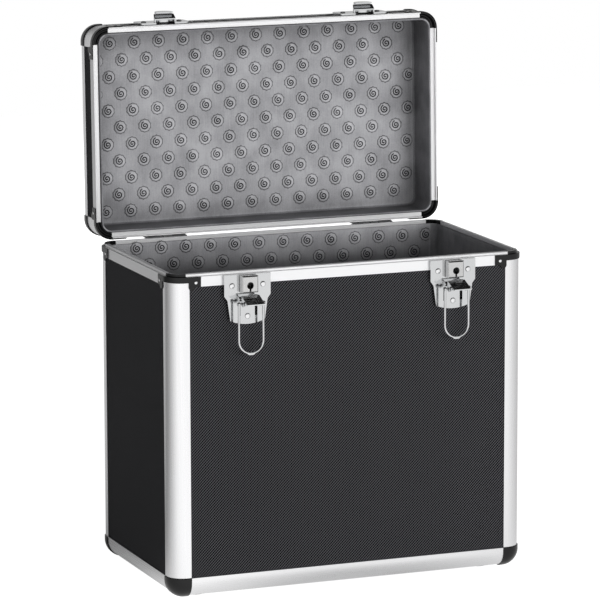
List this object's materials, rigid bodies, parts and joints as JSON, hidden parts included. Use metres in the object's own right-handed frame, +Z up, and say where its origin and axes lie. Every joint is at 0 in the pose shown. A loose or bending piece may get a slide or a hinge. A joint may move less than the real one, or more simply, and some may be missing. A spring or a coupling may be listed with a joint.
{
  "type": "record carrying case",
  "caption": "Tall lidded carrying case for records with aluminium edges, black panels, plastic corners and draw latches, standing open.",
  "frame": {"origin": "on the floor, under the middle of the case between its feet", "axes": "+Z up, the latches at the front on -Y, the hinges at the back on +Y, +X to the viewer's right from the front"},
  "size_m": [0.3534, 0.2976, 0.5163],
  "materials": {
    "laminate": "black laminate with a fine diamond grain on a wooden board",
    "aluminium": "clear anodised extrusion, satin",
    "corner_plastic": "moulded black plastic, semi-gloss",
    "lining": "grey foam sheet with a satin embossed face",
    "chrome": "bright chrome plate",
    "lock_metal": "satin chrome plate",
    "steel": "zinc plated steel",
    "rubber": "matte black rubber",
    "grip_plastic": "moulded black plastic, matte"
  },
  "bodies": {
    "case": {"front_panel": "laminate", "right_panel": "laminate", "back_panel": "laminate", "left_panel": "laminate", "bottom_panel": "laminate", "corner_post_front_left": "aluminium", "corner_post_front_right": "aluminium", "corner_post_back_right": "aluminium", "corner_post_back_left": "aluminium", "base_rail_front": "aluminium", "rim_rail_front": "aluminium", "base_rail_right": "aluminium", "rim_rail_right": "aluminium", "base_rail_back": "aluminium", "rim_rail_back": "aluminium", "base_rail_left": "aluminium", "rim_rail_left": "aluminium", "base_corners": "corner_plastic", "rim_corners": "corner_plastic", "body_lining": "lining", "feet": "rubber", "latch_plate_left": "chrome", "lock_case_left": "lock_metal", "latch_plate_right": "chrome", "lock_case_right": "lock_metal", "hinge_body_leaves": "steel", "body_rivets": "chrome"},
    "lid": {"lid_front_panel": "laminate", "lid_right_panel": "laminate", "lid_back_panel": "laminate", "lid_left_panel": "laminate", "lid_top_panel": "laminate", "lid_top_rail_front": "aluminium", "lid_rim_rail_front": "aluminium", "lid_top_rail_right": "aluminium", "lid_rim_rail_right": "aluminium", "lid_top_rail_back": "aluminium", "lid_rim_rail_back": "aluminium", "lid_top_rail_left": "aluminium", "lid_rim_rail_left": "aluminium", "lid_corner_posts": "aluminium", "lid_ball_corners": "corner_plastic", "lid_rim_corners": "corner_plastic", "lid_lining": "lining", "keeper_left": "chrome", "keeper_right": "chrome", "hinge_lid_leaves": "steel", "lid_rivets": "chrome", "handle_brackets": "chrome"},
    "handle": {"handle_bow": "chrome", "handle_grip": "grip_plastic"},
    "lever_left": {"latch_lever_left": "chrome"},
    "bail_pivot_left": {"bail_pin_left": "steel"},
    "bail_left": {"bail_left": "chrome"},
    "lever_right": {"latch_lever_right": "chrome"},
    "bail_pivot_right": {"bail_pin_right": "steel"},
    "bail_right": {"bail_right": "chrome"}
  },
  "joints": [
    {"name": "lid_hinge", "type": "hinge", "parent": "case", "child": "lid", "pos_m": [0, 0.103, 0.3017], "axis": [1, 0, 0], "range_deg": [0, 91.6]},
    {"name": "handle_fold", "type": "hinge", "parent": "lid", "child": "handle", "pos_m": [0, 0.16185, 0.4031], "axis": [1, 0, 0], "range_deg": [-1.6, 178.4]},
    {"name": "lever_lift_left", "type": "hinge", "parent": "case", "child": "lever_left", "pos_m": [-0.1015, -0.1065, 0.279], "axis": [-1, 0, 0], "range_deg": [-68.5, 25]},
    {"name": "bail_pin_turn_left", "type": "hinge", "parent": "lever_left", "child": "bail_pivot_left", "pos_m": [-0.1015, -0.11246, 0.27558], "axis": [-1, 0, 0], "range_deg": [-25, 68.5]},
    {"name": "bail_swing_left", "type": "hinge", "parent": "bail_pivot_left", "child": "bail_left", "pos_m": [-0.1015, -0.11246, 0.27558], "axis": [-1, 0, 0], "range_deg": [0, 185]},
    {"name": "lever_lift_right", "type": "hinge", "parent": "case", "child": "lever_right", "pos_m": [0.1015, -0.1065, 0.279], "axis": [-1, 0, 0], "range_deg": [-68.5, 25]},
    {"name": "bail_pin_turn_right", "type": "hinge", "parent": "lever_right", "child": "bail_pivot_right", "pos_m": [0.1015, -0.11246, 0.27558], "axis": [-1, 0, 0], "range_deg": [-25, 68.5]},
    {"name": "bail_swing_right", "type": "hinge", "parent": "bail_pivot_right", "child": "bail_right", "pos_m": [0.1015, -0.11246, 0.27558], "axis": [-1, 0, 0], "range_deg": [0, 185]}
  ],
  "couplings": [
    {"joint": "bail_pin_turn_left", "follows": "lever_lift_left", "ratio": -1},
    {"joint": "bail_pin_turn_right", "follows": "lever_lift_right", "ratio": -1}
  ]
}
